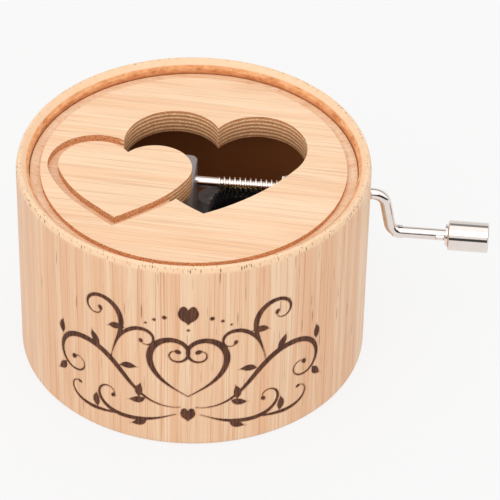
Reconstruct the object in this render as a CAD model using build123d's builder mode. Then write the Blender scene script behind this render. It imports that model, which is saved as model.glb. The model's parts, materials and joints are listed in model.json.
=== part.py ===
from build123d import *
from math import cos, pi, radians, sin, sqrt, tan
import os

os.makedirs("parts", exist_ok=True)

# Round bamboo music box turned by a hand crank, in millimetres.
# The origin is the centre of the underside, +X runs out along the crank shaft,
# +Y to the back and +Z up.  A worm on the crank turns a pinned drum past a steel comb.

# ---- driving dimensions -------------------------------------------------

# case: a turned bamboo ring with a sound board across it
case_radius = 35.0
case_height = 44.45
rim_wall = 2.55
foot_round = 0.8
cavity_wall = 5.5
chamber_wall = 8.4
sound_board_thickness = 5.0
crank_hole_gap = 0.7

# top of the rim: leans in to a narrow crown, then falls to the inside
rim_lean_height = 2.0
rim_lean = 0.3
crown_drop = 0.4
crown_inset = 0.75
rim_bevel_inset = 1.25
rim_bevel_start = 0.22
rim_bevel_drop = 1.5

# base board, let into the underside
base_board_thickness = 4.0
base_board_rebate = 4.4
base_screw_edge = 0.6
board_gap = 0.15
base_screw_count = 3
base_screw_length = 10.0

# lid: a plywood disc with a stepped edge
lid_sink = 2.25
lid_thickness = 5.0
lid_gap = 0.15
ledge_width = 2.05
ledge_drop = 1.0
ledge_edge_drop = 0.45
groove_width = 2.1
groove_depth = 1.5

# heart cut through the lid: tip, then half outline measured from the tip
hole_tip = (3.5, -14.8)
hole_cleft = 28.0
hole_lobe = (9.4, 32.9)
hole_shoulder = (14.3, 30.8)
hole_side = (16.75, 16.6)

# smaller heart left standing over the corner of the hole
island_tip = (-13.5, -17.95)
island_cleft = 21.1
island_lobe = (7.05, 23.95)
island_shoulder = (12.6, 13.7)
island_side = (5.95, 4.85)

# movement: places of its two axes, and the heights that stack up under the lid
headroom = 0.3
shaft_y = 5.5
drum_x = 9.75
bed_thickness = 1.6
post_above_shaft = 2.45

# crank wire, its S-bend and its knob
wire_radius = 1.17
wire_bend = 2.5
crank_throw = 9.05
crank_lean = 1.8
crank_wall_gap = 3.0
grip_straight = 11.4
ear_length = 1.8
ear_thickness = 0.7
ear_reach = 0.35
knob_radius = 3.05
knob_length = 8.2
knob_chamfer = 0.25
knob_collar_radius = 2.2
knob_collar_length = 0.5
rivet_radius = 1.75
rivet_thickness = 0.8
rivet_recess = 1.3
rivet_round = 0.25
shaft_chamfer = 0.33

# worm rolled on the wire, and the wheel it drives
worm_lead = 1.05
worm_turns = 11.5
turns_to_wheel = 5
worm_tip_radius = 1.45
worm_core_radius = 0.95
worm_ridge_root = 0.62
worm_ridge_tip = 0.30
worm_ridge_sink = 0.1
wheel_teeth = 44
wheel_width = 4.0
mesh_gap = 0.12
tooth_at_pitch = 0.36
tooth_flank = 0.32
wheel_hub_radius = 3.6
wheel_rim_thickness = 1.5
wheel_dish = 1.1
wheel_foot_gap = 0.617

# drum
drum_radius = 6.5
drum_wall = 0.8
drum_front_margin = 1.0
drum_back_margin = 1.79
drum_cap_thickness = 2.0
pin_radius = 0.2
pin_height = 0.6
pin_root = 0.5
pins_per_note = 4
axle_radius = 0.8
axle_overhang = 0.5
axle_chamfer = 0.24

# comb
note_count = 18
note_pitch = 0.97
comb_slot = 0.25
comb_thickness = 1.6
tooth_thickness = 0.5
comb_tip_gap = 0.2
shortest_tooth = 11.0
longest_tooth = 14.0
comb_back = 7.0
comb_rise = 0.3
comb_side_gap = 0.6
comb_screw_inset = 3.9
comb_screw_edge = 3.2
comb_screw_depth = 4.0
weighted_notes = 9
weight_length = 2.4
weight_drop = 1.3
weight_inset = 1.0
weight_taper = 0.4
damper_length = 3.2
damper_drop = 0.25
damper_inset = 0.3

# brackets
post_thickness = 2.5
post_front = 7.0
post_back = 5.4
post_corner = 1.6
post_face_gap = 10.05
ear_wall_thickness = 1.8
ear_radius = 2.4
ear_foot_width = 6.2
foot_thickness = 1.0
rear_bearing_thickness = 2.0
rear_bearing_radius = 3.2
rear_bearing_foot_width = 9.6
drum_bracket_thickness = 1.0
drum_bracket_width = 9.2
drum_bracket_foot = 4.5
bracket_round = 0.25
gear_screw_off_post = 2.6
gear_screw_off_ear = 2.0
gear_screw_forward = 4.6
drum_bracket_screw_spread = 6.4
drum_bracket_screw_edge = 2.0

# bedplate
bed_left_margin = 0.45
bed_right_margin = 0.967
bed_front_margin = 1.24
bed_back = 12.0
bed_corner = 5.0
lug_half_width = 5.0
lug_reach = 23.9
boss_radius = 2.8
boss_height = 3.0
boss_edge = 0.25
right_screw_from_front = 7.0
washer_wall_gap = 0.238
rear_lug_x = 1.5
rear_screw_edge = 1.1

# screws, washers, bush and clip
running_gap = 0.05
thread_gap = 0.02
hole_gap = 0.2
end_float = 0.15
big_screw_radius = 1.25
big_head_radius = 2.4
big_head_height = 1.5
small_screw_radius = 0.8
small_head_radius = 1.5
small_head_height = 1.0
wood_screw_radius = 0.95
wood_head_radius = 2.0
screw_recess = 0.1
slot_width = 0.45
slot_depth = 0.5
screw_end_gap = 0.5
small_screw_end_gap = 0.2
pan_round_share = 0.35
screw_point_share = 0.35
countersink_angle = 90
washer_radius = 3.0
washer_thickness = 0.5
bush_wall = 0.45
bush_flange_radius = 2.2
wheel_side_gap = 0.4
clip_groove_radius = 0.75
clip_radius = 2.1
clip_thickness = 0.5
clip_overhang = 0.7

# ---- places worked out from them ----------------------------------------

rim_inner_radius = case_radius - rim_wall
cavity_radius = case_radius - cavity_wall
chamber_radius = case_radius - chamber_wall
base_seat_radius = chamber_radius + base_board_rebate
base_screw_circle = base_seat_radius - wood_head_radius - base_screw_edge

lid_radius = rim_inner_radius - lid_gap
lid_top = case_height - lid_sink
lid_seat = lid_top - lid_thickness

worm_pitch_radius = (worm_tip_radius + worm_core_radius) / 2
wheel_pitch_radius = wheel_teeth * worm_lead / (2 * pi)
shaft_over_drum = worm_pitch_radius + wheel_pitch_radius
wheel_tip_radius = shaft_over_drum - worm_core_radius - mesh_gap
wheel_root_radius = shaft_over_drum - worm_tip_radius - mesh_gap
worm_slope = worm_lead / (2 * pi * worm_pitch_radius)

post_top = lid_seat - headroom
shaft_z = post_top - post_above_shaft
drum_z = shaft_z - shaft_over_drum
bed_top = drum_z - wheel_tip_radius - wheel_foot_gap - foot_thickness
board_top = bed_top - bed_thickness
board_bottom = board_top - sound_board_thickness
foot_top = bed_top + foot_thickness

worm_start = drum_x - turns_to_wheel * worm_lead
worm_end = worm_start + worm_turns * worm_lead + worm_ridge_root / 2
post_right = drum_x - post_face_gap
post_left = post_right - post_thickness
ear_left = drum_x + wheel_tip_radius + wheel_side_gap
bush_flange_thickness = ear_left - worm_end - end_float
ear_right = ear_left + ear_wall_thickness
shaft_end = post_left - end_float - clip_thickness - clip_overhang
bracket_front = shaft_y - post_front
bracket_back = shaft_y + post_back

knob_z = shaft_z - crank_throw
wall_exit = sqrt(case_radius**2 - shaft_y**2)
upper_bend_x = wall_exit + crank_wall_gap
lower_bend_x = upper_bend_x + crank_lean
knob_left = lower_bend_x + grip_straight
knob_right = knob_left + knob_length
rivet_step = knob_right - rivet_recess

wheel_front = shaft_y - wheel_width / 2
comb_back_y = bracket_front - comb_side_gap
comb_width = note_count * note_pitch - comb_slot
comb_front_y = comb_back_y - comb_width
drum_front = comb_front_y - drum_front_margin
drum_back = comb_back_y + drum_back_margin
drum_length = drum_back - drum_front
pin_tip_radius = drum_radius + pin_height
rear_bearing_front = bracket_back - rear_bearing_thickness
ear_front_face = drum_front - end_float - drum_bracket_thickness
axle_front = ear_front_face - axle_overhang
axle_back = bracket_back + axle_overhang

comb_tip_x = drum_x - pin_tip_radius - comb_tip_gap
comb_top = drum_z + comb_rise
comb_bottom = comb_top - comb_thickness
teeth_bottom = comb_top - tooth_thickness
comb_back_x = comb_tip_x - longest_tooth - comb_back
comb_screw_x = comb_back_x + comb_screw_inset
comb_screw_ys = (comb_front_y + comb_screw_edge, comb_back_y - comb_screw_edge)

bed_left = bed_left_margin - comb_back_x
bed_front = bed_front_margin - ear_front_face

gear_screw_y = shaft_y - gear_screw_forward
gear_screws_at = [
    (post_right + gear_screw_off_post, gear_screw_y),
    (ear_left - gear_screw_off_ear, gear_screw_y),
]
drum_bracket_foot_end = ear_front_face + drum_bracket_thickness + drum_bracket_foot
drum_bracket_screws_at = [
    (drum_x + side * drum_bracket_screw_spread / 2, drum_bracket_foot_end - drum_bracket_screw_edge)
    for side in (-1, 1)
]
heel_screw = (comb_screw_x, (comb_front_y + comb_back_y) / 2)
right_screw_y = right_screw_from_front - bed_front
washer_circle = chamber_radius - washer_radius - washer_wall_gap
right_screw = (sqrt(washer_circle**2 - right_screw_y**2), right_screw_y)
# the plate reaches past both the ear and the boss of the right-hand screw
bed_right = max(ear_right + bed_right_margin, right_screw[0] + boss_radius + boss_edge)
rear_screw = (rear_lug_x, lug_reach - boss_radius - rear_screw_edge)
movement_screws_at = [heel_screw, right_screw, rear_screw]

ALONG_X = Plane.YZ
CENTRED_UP = (Align.CENTER, Align.CENTER, Align.MIN)
CENTRED_DOWN = (Align.CENTER, Align.CENTER, Align.MAX)


def facing_front(y):
    """Upright plane at depth y whose normal points to the front."""
    return Plane.XZ.offset(-y)


# ---- shared shapes ------------------------------------------------------


def heart(cleft, lobe, shoulder, side):
    """Heart with its tip at the origin: three tangent arcs a side, mirrored."""
    with BuildSketch() as face:
        with BuildLine():
            over = ThreePointArc((0, cleft), lobe, shoulder)
            flank = TangentArc(shoulder, side, tangent=over % 1)
            TangentArc(side, (0, 0), tangent=flank % 1)
            mirror(about=Plane.YZ)
        make_face()
    return face.sketch


def pan_screw(shank_radius, length, head_radius, head_height):
    """Slotted pan-head screw, head up, its shoulder at the origin."""
    with BuildPart() as screw:
        Cylinder(head_radius, head_height, align=CENTRED_UP)
        crown = screw.edges().filter_by(GeomType.CIRCLE).sort_by(Axis.Z)[-1]
        fillet(crown, head_height * pan_round_share)
        Cylinder(shank_radius, length, align=CENTRED_DOWN)
        point = screw.edges().filter_by(GeomType.CIRCLE).sort_by(Axis.Z)[0]
        chamfer(point, shank_radius * screw_point_share)
        with Locations((0, 0, head_height)):
            Box(3 * head_radius, slot_width, 2 * slot_depth, mode=Mode.SUBTRACT)
    return screw.part


def countersunk_screw(shank_radius, length, head_radius):
    """Cross-slotted flat-head screw, head up, the top of its head at the origin."""
    head_height = (head_radius - shank_radius) / tan(radians(countersink_angle / 2))
    with BuildPart() as screw:
        Cone(shank_radius, head_radius, head_height, align=CENTRED_DOWN)
        Cylinder(shank_radius, length, align=CENTRED_DOWN)
        point = screw.edges().filter_by(GeomType.CIRCLE).sort_by(Axis.Z)[0]
        chamfer(point, shank_radius * screw_point_share)
        Box(head_radius, slot_width, 2 * slot_depth, mode=Mode.SUBTRACT)
        Box(slot_width, head_radius, 2 * slot_depth, mode=Mode.SUBTRACT)
    return screw.part


hole_heart = heart(hole_cleft, hole_lobe, hole_shoulder, hole_side)
island_heart = heart(island_cleft, island_lobe, island_shoulder, island_side)

# ---- case ---------------------------------------------------------------

with BuildPart() as case_body:
    with BuildSketch(Plane.XZ):
        with BuildLine():
            Polyline(
                (0, board_bottom),
                (chamber_radius, board_bottom),
                (chamber_radius, base_board_thickness),
                (base_seat_radius, base_board_thickness),
                (base_seat_radius, 0),
                (case_radius, 0),
                (case_radius, case_height - rim_lean_height),
            )
            lean = TangentArc(
                (case_radius, case_height - rim_lean_height),
                (case_radius - rim_lean, case_height - crown_drop),
                tangent=(0, 1),
            )
            crown = ThreePointArc(
                lean @ 1,
                (case_radius - crown_inset, case_height),
                (case_radius - rim_bevel_inset, case_height - rim_bevel_start),
            )
            Polyline(
                crown @ 1,
                (rim_inner_radius, case_height - rim_bevel_drop),
                (rim_inner_radius, lid_seat),
                (cavity_radius, lid_seat),
                (cavity_radius, board_top),
                (0, board_top),
                (0, board_bottom),
            )
        make_face()
    revolve(axis=Axis.Z)
    foot_rings = case_body.edges().filter_by(GeomType.CIRCLE).group_by(Axis.Z)[0]
    fillet(foot_rings.sort_by(SortBy.RADIUS)[-1], foot_round)
    # the crank comes out through the right-hand wall
    with BuildSketch(ALONG_X):
        with Locations((shaft_y, shaft_z)):
            Circle(wire_radius + crank_hole_gap)
    extrude(amount=case_radius, mode=Mode.SUBTRACT)
    with Locations(*[(x, y, board_top) for x, y in movement_screws_at]):
        Hole(big_screw_radius + hole_gap, sound_board_thickness)
    with Locations((0, 0, base_board_thickness)):
        with PolarLocations(base_screw_circle, base_screw_count, start_angle=90):
            Cylinder(
                wood_screw_radius + thread_gap,
                base_screw_length - base_board_thickness + 2 * screw_recess,
                align=CENTRED_UP,
                mode=Mode.SUBTRACT,
            )
case_body.part.label = "case_body"
export_step(case_body.part, "parts/case_body.step")

with BuildPart() as base_board:
    Cylinder(base_seat_radius - board_gap, base_board_thickness, align=CENTRED_UP)
    with Locations(Plane(origin=(0, 0, 0), x_dir=(-1, 0, 0), z_dir=(0, 0, -1))):
        with PolarLocations(base_screw_circle, base_screw_count, start_angle=90):
            CounterSinkHole(
                wood_screw_radius + hole_gap,
                wood_head_radius + screw_recess,
                base_board_thickness,
                counter_sink_angle=countersink_angle,
            )
base_board.part.label = "base_board"
export_step(base_board.part, "parts/base_board.step")

base_screw = countersunk_screw(wood_screw_radius, base_screw_length, wood_head_radius)
with BuildPart() as base_screws:
    with Locations(Plane(origin=(0, 0, screw_recess), x_dir=(-1, 0, 0), z_dir=(0, 0, -1))):
        with PolarLocations(base_screw_circle, base_screw_count, start_angle=90):
            add(base_screw)
base_screws.part.label = "base_screws"
export_step(base_screws.part, "parts/base_screws.step")

# ---- lid ----------------------------------------------------------------

with BuildPart() as lid:
    with BuildSketch(Plane.XY.offset(lid_seat)):
        Circle(lid_radius)
    extrude(amount=lid_thickness)
    # the edge is stepped down, and rises a little to its rim
    with BuildSketch(Plane.XZ):
        with BuildLine():
            Polyline(
                (lid_radius - ledge_width, lid_top),
                (lid_radius - ledge_width, lid_top - ledge_drop),
                (lid_radius, lid_top - ledge_edge_drop),
                (lid_radius, lid_top),
                close=True,
            )
        make_face()
    revolve(axis=Axis.Z, mode=Mode.SUBTRACT)
    # routed groove round the small heart
    with BuildSketch(Plane.XY.offset(lid_top)):
        with Locations(island_tip):
            add(offset(island_heart, groove_width, kind=Kind.INTERSECTION, mode=Mode.PRIVATE))
            add(island_heart, mode=Mode.SUBTRACT)
    extrude(amount=-groove_depth, mode=Mode.SUBTRACT)
    # the large heart goes right through, except where the small one overlaps it
    with BuildSketch(Plane.XY.offset(lid_seat)):
        with Locations(hole_tip):
            add(hole_heart)
        with Locations(island_tip):
            add(island_heart, mode=Mode.SUBTRACT)
    extrude(amount=lid_thickness, mode=Mode.SUBTRACT)
lid.part.label = "lid"
export_step(lid.part, "parts/lid.step")

# ---- bedplate and brackets ----------------------------------------------

with BuildPart() as bedplate:
    with BuildSketch(Plane.XY.offset(board_top)):
        with Locations(((bed_right - bed_left) / 2, (bed_back - bed_front) / 2)):
            RectangleRounded(bed_left + bed_right, bed_front + bed_back, bed_corner)
        with Locations((rear_screw[0], lug_reach - lug_half_width)):
            Circle(lug_half_width)
        with Locations((rear_screw[0], lug_reach - lug_half_width)):
            Rectangle(
                2 * lug_half_width,
                lug_reach - lug_half_width - bed_back + bed_corner,
                align=(Align.CENTER, Align.MAX),
            )
    extrude(amount=bed_thickness)
    # raised heel that the comb is clamped to
    with BuildSketch(Plane.XY.offset(bed_top)):
        with Locations((comb_back_x, comb_front_y)):
            Rectangle(comb_back, comb_width, align=(Align.MIN, Align.MIN))
    extrude(amount=comb_bottom - bed_top)
    with BuildSketch(Plane.XY.offset(bed_top)):
        with Locations(right_screw, rear_screw):
            Circle(boss_radius)
    extrude(amount=boss_height)
    with Locations(*[(x, y, board_top) for x, y in movement_screws_at]):
        Cylinder(
            big_screw_radius + thread_gap,
            bed_thickness + boss_height,
            align=CENTRED_UP,
            mode=Mode.SUBTRACT,
        )
    with Locations(*[(comb_screw_x, y, comb_bottom) for y in comb_screw_ys]):
        Hole(big_screw_radius + thread_gap, comb_screw_depth + screw_end_gap)
    with Locations(*[(x, y, bed_top) for x, y in gear_screws_at]):
        Hole(small_screw_radius + thread_gap, bed_thickness)
    with Locations(*[(x, y, bed_top) for x, y in drum_bracket_screws_at]):
        Hole(small_screw_radius + thread_gap, bed_thickness)
bedplate.part.label = "bedplate"
export_step(bedplate.part, "parts/bedplate.step")

movement_screw = pan_screw(
    big_screw_radius,
    sound_board_thickness + bed_thickness + boss_height - screw_end_gap,
    big_head_radius,
    big_head_height,
)
screw_seat = board_bottom - washer_thickness
with BuildPart() as movement_screws:
    with Locations(Plane(origin=(0, 0, screw_seat), x_dir=(1, 0, 0), z_dir=(0, 0, -1))):
        with Locations(*[(x, -y) for x, y in movement_screws_at]):
            add(movement_screw)
movement_screws.part.label = "movement_screws"
export_step(movement_screws.part, "parts/movement_screws.step")

with BuildPart() as movement_washers:
    with BuildSketch(Plane.XY.offset(screw_seat)):
        with Locations(*movement_screws_at):
            Circle(washer_radius)
            Circle(big_screw_radius + hole_gap, mode=Mode.SUBTRACT)
    extrude(amount=washer_thickness)
movement_washers.part.label = "movement_washers"
export_step(movement_washers.part, "parts/movement_washers.step")

# cast bracket with the two shaft bearings and the rear drum bearing
with BuildPart() as gear_bracket:
    with BuildSketch(Plane.XY.offset(bed_top)):
        with Locations((post_left, bracket_front)):
            Rectangle(
                ear_right - post_left,
                bracket_back - bracket_front,
                align=(Align.MIN, Align.MIN),
            )
    extrude(amount=foot_thickness)
    with BuildSketch(Plane.XY.offset(bed_top)) as post_section:
        with Locations((post_left, bracket_front)):
            Rectangle(post_thickness, bracket_back - bracket_front, align=(Align.MIN, Align.MIN))
        inner = post_section.vertices().group_by(Axis.X)[-1]
        fillet(inner, post_corner)
    extrude(amount=post_top - bed_top)
    fillet(gear_bracket.faces().sort_by(Axis.Z)[-1].edges(), bracket_round)
    with BuildSketch(ALONG_X.offset(ear_left)):
        with Locations((shaft_y, shaft_z)):
            Circle(ear_radius)
        with Locations((shaft_y, bed_top)):
            Rectangle(ear_foot_width, foot_thickness, align=(Align.CENTER, Align.MIN))
        make_hull()
    extrude(amount=ear_wall_thickness)
    with BuildSketch(facing_front(rear_bearing_front)):
        with Locations((drum_x, drum_z)):
            Circle(rear_bearing_radius)
        with Locations((drum_x, bed_top)):
            Rectangle(rear_bearing_foot_width, foot_thickness, align=(Align.CENTER, Align.MIN))
        make_hull()
    extrude(amount=-rear_bearing_thickness)
    with BuildSketch(ALONG_X.offset(post_left)):
        with Locations((shaft_y, shaft_z)):
            Circle(wire_radius + running_gap)
    extrude(amount=post_thickness, mode=Mode.SUBTRACT)
    with BuildSketch(ALONG_X.offset(ear_left)):
        with Locations((shaft_y, shaft_z)):
            Circle(wire_radius + running_gap + bush_wall)
    extrude(amount=ear_wall_thickness, mode=Mode.SUBTRACT)
    with BuildSketch(facing_front(rear_bearing_front)):
        with Locations((drum_x, drum_z)):
            Circle(axle_radius + running_gap)
    extrude(amount=-rear_bearing_thickness, mode=Mode.SUBTRACT)
    with Locations(*[(x, y, foot_top) for x, y in gear_screws_at]):
        Hole(small_screw_radius + hole_gap, foot_thickness)
gear_bracket.part.label = "gear_bracket"
export_step(gear_bracket.part, "parts/gear_bracket.step")

small_pan_screw = pan_screw(
    small_screw_radius,
    foot_thickness + bed_thickness - small_screw_end_gap,
    small_head_radius,
    small_head_height,
)
with BuildPart() as gear_bracket_screws:
    with Locations(*[(x, y, foot_top) for x, y in gear_screws_at]):
        add(small_pan_screw)
gear_bracket_screws.part.label = "gear_bracket_screws"
export_step(gear_bracket_screws.part, "parts/gear_bracket_screws.step")

# pressed steel bracket at the front end of the drum
with BuildPart() as drum_bracket:
    with BuildSketch(facing_front(ear_front_face)):
        with Locations((drum_x, drum_z)):
            Circle(rear_bearing_radius)
        with Locations((drum_x, bed_top)):
            Rectangle(drum_bracket_width, foot_thickness, align=(Align.CENTER, Align.MIN))
        make_hull()
    extrude(amount=-drum_bracket_thickness)
    with BuildSketch(Plane.XY.offset(bed_top)):
        with Locations((drum_x, ear_front_face)):
            Rectangle(
                drum_bracket_width,
                drum_bracket_thickness + drum_bracket_foot,
                align=(Align.CENTER, Align.MIN),
            )
    extrude(amount=foot_thickness)
    with BuildSketch(facing_front(ear_front_face)):
        with Locations((drum_x, drum_z)):
            Circle(axle_radius + running_gap)
    extrude(amount=-drum_bracket_thickness, mode=Mode.SUBTRACT)
    with Locations(*[(x, y, foot_top) for x, y in drum_bracket_screws_at]):
        CounterSinkHole(
            small_screw_radius + thread_gap,
            small_head_radius + thread_gap,
            foot_thickness,
            counter_sink_angle=countersink_angle,
        )
drum_bracket.part.label = "drum_bracket"
export_step(drum_bracket.part, "parts/drum_bracket.step")

small_flat_screw = countersunk_screw(
    small_screw_radius, foot_thickness + bed_thickness - small_screw_end_gap, small_head_radius
)
with BuildPart() as drum_bracket_screws:
    with Locations(*[(x, y, foot_top) for x, y in drum_bracket_screws_at]):
        add(small_flat_screw)
drum_bracket_screws.part.label = "drum_bracket_screws"
export_step(drum_bracket_screws.part, "parts/drum_bracket_screws.step")

# ---- comb ---------------------------------------------------------------


def note_y(note):
    """Depth of the middle of a comb tooth, counted from the front."""
    return comb_front_y + (note_pitch - comb_slot) / 2 + note * note_pitch


def tooth_root(note):
    """Depth of the slots in from the tips: the front notes are the low, long ones."""
    return longest_tooth + (shortest_tooth - longest_tooth) * note / (note_count - 1)


with BuildPart() as comb:
    with BuildSketch(Plane.XY.offset(comb_bottom)):
        with Locations((comb_back_x, comb_front_y)):
            Rectangle(comb_tip_x - comb_back_x, comb_width, align=(Align.MIN, Align.MIN))
    extrude(amount=comb_thickness)
    # the teeth are ground thin from below
    with BuildSketch(Plane.XY.offset(comb_bottom)):
        with BuildLine():
            Polyline(
                (comb_tip_x, comb_front_y),
                (comb_tip_x - tooth_root(0), comb_front_y),
                (comb_tip_x - tooth_root(note_count - 1), comb_back_y),
                (comb_tip_x, comb_back_y),
                close=True,
            )
        make_face()
    extrude(amount=comb_thickness - tooth_thickness, mode=Mode.SUBTRACT)
    with BuildSketch(Plane.XY.offset(teeth_bottom)):
        for slot in range(note_count - 1):
            slot_length = tooth_root(slot + 0.5)
            with Locations((comb_tip_x, note_y(slot) + note_pitch / 2)):
                Rectangle(slot_length, comb_slot, align=(Align.MAX, Align.CENTER))
    extrude(amount=tooth_thickness, mode=Mode.SUBTRACT)
    with Locations(*[(comb_screw_x, y, comb_top) for y in comb_screw_ys]):
        Hole(big_screw_radius + hole_gap, comb_thickness)
comb.part.label = "comb"
export_step(comb.part, "parts/comb.step")

comb_screw = pan_screw(
    big_screw_radius, comb_thickness + comb_screw_depth, big_head_radius, big_head_height
)
with BuildPart() as comb_screws:
    with Locations(*[(comb_screw_x, y, comb_top) for y in comb_screw_ys]):
        add(comb_screw)
comb_screws.part.label = "comb_screws"
export_step(comb_screws.part, "parts/comb_screws.step")

# lead weights under the low notes, thin dampers under the high ones
with BuildPart() as comb_weights:
    for note in range(weighted_notes):
        with Locations((comb_tip_x - weight_inset, note_y(note), teeth_bottom)):
            Box(
                weight_length,
                note_pitch - 2 * comb_slot,
                weight_drop * (1 - weight_taper * note / weighted_notes),
                align=(Align.MAX, Align.CENTER, Align.MAX),
            )
comb_weights.part.label = "comb_weights"
export_step(comb_weights.part, "parts/comb_weights.step")

with BuildPart() as comb_dampers:
    for note in range(weighted_notes, note_count):
        with Locations((comb_tip_x - damper_inset, note_y(note), teeth_bottom)):
            Box(
                damper_length,
                note_pitch - 3 * comb_slot,
                damper_drop,
                align=(Align.MAX, Align.CENTER, Align.MAX),
            )
comb_dampers.part.label = "comb_dampers"
export_step(comb_dampers.part, "parts/comb_dampers.step")

# ---- drum ---------------------------------------------------------------


def drum_plane(y):
    """Plane across the drum's axis at depth y, its normal to the back."""
    return Plane(origin=(drum_x, y, drum_z), x_dir=(1, 0, 0), z_dir=(0, 1, 0))


with BuildPart() as drum_shell:
    with BuildSketch(drum_plane(drum_front)):
        Circle(drum_radius)
        Circle(drum_radius - drum_wall, mode=Mode.SUBTRACT)
    extrude(amount=drum_length)
drum_shell.part.label = "drum_shell"
export_step(drum_shell.part, "parts/drum_shell.step")

# a rising scale, played once for each pin that a note has round the drum
with BuildPart() as drum_pins:
    for note in range(note_count):
        for beat in range(pins_per_note):
            turn = radians((beat + 0.5 + note / note_count) * 360 / pins_per_note)
            out = (cos(turn), 0, sin(turn))
            foot = drum_radius - pin_root
            origin = (drum_x + foot * out[0], note_y(note), drum_z + foot * out[2])
            with Locations(Plane(origin=origin, z_dir=out)):
                Cylinder(pin_radius, pin_root + pin_height, align=CENTRED_UP)
drum_pins.part.label = "drum_pins"
export_step(drum_pins.part, "parts/drum_pins.step")

cap_fronts = {"drum_cap_front": drum_front, "drum_cap_rear": drum_back - drum_cap_thickness}
for cap_name, cap_front in cap_fronts.items():
    with BuildPart() as drum_cap:
        with BuildSketch(drum_plane(cap_front)):
            Circle(drum_radius - drum_wall)
            Circle(axle_radius, mode=Mode.SUBTRACT)
        extrude(amount=drum_cap_thickness)
    drum_cap.part.label = cap_name
    export_step(drum_cap.part, f"parts/{cap_name}.step")

with BuildPart() as drum_axle:
    with BuildSketch(drum_plane(axle_front)):
        Circle(axle_radius)
    extrude(amount=axle_back - axle_front)
    chamfer(drum_axle.edges().filter_by(GeomType.CIRCLE), axle_chamfer)
drum_axle.part.label = "drum_axle"
export_step(drum_axle.part, "parts/drum_axle.step")

# one slanted tooth, standing out along +X of the wheel's own plane
slant = worm_slope * wheel_width


def half_tooth(radius):
    """Half the tooth's thickness at a radius, from straight flanks."""
    return tooth_at_pitch / 2 + (wheel_pitch_radius - radius) * tooth_flank


with BuildPart() as wheel_tooth:
    tooth_foot = wheel_root_radius - mesh_gap
    with BuildSketch():
        with Locations((0, -slant / 2)):
            Polygon(
                (tooth_foot, -half_tooth(wheel_root_radius)),
                (wheel_tip_radius, -half_tooth(wheel_tip_radius)),
                (wheel_tip_radius, half_tooth(wheel_tip_radius)),
                (tooth_foot, half_tooth(wheel_root_radius)),
                align=None,
            )
    extrude(amount=sqrt(wheel_width**2 + slant**2), dir=(0, slant, wheel_width))

with BuildPart(drum_plane(wheel_front)) as worm_wheel:
    Cylinder(wheel_root_radius, wheel_width, align=CENTRED_UP)
    with BuildSketch():
        Circle(wheel_root_radius - wheel_rim_thickness)
        Circle(wheel_hub_radius, mode=Mode.SUBTRACT)
    extrude(amount=wheel_dish, mode=Mode.SUBTRACT)
    with PolarLocations(0, wheel_teeth):
        add(wheel_tooth.part)
    # the hub reaches forward to the drum and back to the bearing
    with BuildSketch(drum_plane(drum_back)):
        Circle(wheel_hub_radius)
    extrude(amount=rear_bearing_front - end_float - drum_back)
    with BuildSketch(drum_plane(drum_back)):
        Circle(axle_radius)
    extrude(amount=rear_bearing_front - drum_back, mode=Mode.SUBTRACT)
worm_wheel.part.label = "worm_wheel"
export_step(worm_wheel.part, "parts/worm_wheel.step")

# ---- crank --------------------------------------------------------------

# right-handed thread that starts on top, so a gap between turns faces the wheel's top tooth
with BuildPart() as worm_ridge:
    with BuildLine() as thread:
        Helix(
            worm_lead,
            worm_turns * worm_lead,
            worm_core_radius,
            center=(worm_start, shaft_y, shaft_z),
            direction=(1, 0, 0),
        )
    with BuildSketch(Plane(origin=thread.line @ 0, x_dir=(0, 0, 1), z_dir=thread.line % 0)):
        Polygon(
            (-worm_ridge_sink, -worm_ridge_root / 2),
            (0, -worm_ridge_root / 2),
            (worm_tip_radius - worm_core_radius, -worm_ridge_tip / 2),
            (worm_tip_radius - worm_core_radius, worm_ridge_tip / 2),
            (0, worm_ridge_root / 2),
            (-worm_ridge_sink, worm_ridge_root / 2),
            align=None,
        )
    sweep(is_frenet=True)

with BuildPart() as crank_wire:
    # plain shaft up to the worm
    with BuildSketch(ALONG_X.offset(shaft_end)):
        with Locations((shaft_y, shaft_z)):
            Circle(wire_radius)
    extrude(amount=worm_start - shaft_end)
    chamfer(crank_wire.edges().filter_by(GeomType.CIRCLE).sort_by(Axis.X)[0], shaft_chamfer)
    with BuildSketch(ALONG_X.offset(worm_start)):
        with Locations((shaft_y, shaft_z)):
            Circle(worm_core_radius)
    extrude(amount=worm_end - worm_start)
    add(worm_ridge.part)
    # bent wire from the worm out to the grip
    with BuildLine():
        FilletPolyline(
            (worm_end, shaft_y, shaft_z),
            (upper_bend_x, shaft_y, shaft_z),
            (lower_bend_x, shaft_y, knob_z),
            (rivet_step + end_float, shaft_y, knob_z),
            radius=wire_bend,
        )
    with BuildSketch(ALONG_X.offset(worm_end)):
        with Locations((shaft_y, shaft_z)):
            Circle(wire_radius)
    sweep()
    # riveted end that keeps the knob on
    with BuildSketch(ALONG_X.offset(rivet_step + end_float)):
        with Locations((shaft_y, knob_z)):
            Circle(rivet_radius)
    extrude(amount=rivet_thickness)
    fillet(crank_wire.edges().filter_by(GeomType.CIRCLE).sort_by(Axis.X)[-1], rivet_round)
    # ears pinched out of the wire: upright by the bend, level by the knob
    with Locations((lower_bend_x + wire_bend - ear_length / 2, shaft_y, knob_z)):
        Box(ear_length, ear_thickness, 2 * (wire_radius + ear_reach))
    with Locations((knob_left - knob_collar_length - end_float - ear_length / 2, shaft_y, knob_z)):
        Box(ear_length, 2 * (wire_radius + ear_reach), ear_thickness)
    # groove for the clip
    with BuildSketch(ALONG_X.offset(post_left - end_float - clip_thickness)):
        with Locations((shaft_y, shaft_z)):
            Circle(2 * wire_radius)
            Circle(clip_groove_radius, mode=Mode.SUBTRACT)
    extrude(amount=clip_thickness, mode=Mode.SUBTRACT)
crank_wire.part.label = "crank_wire"
export_step(crank_wire.part, "parts/crank_wire.step")

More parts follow.
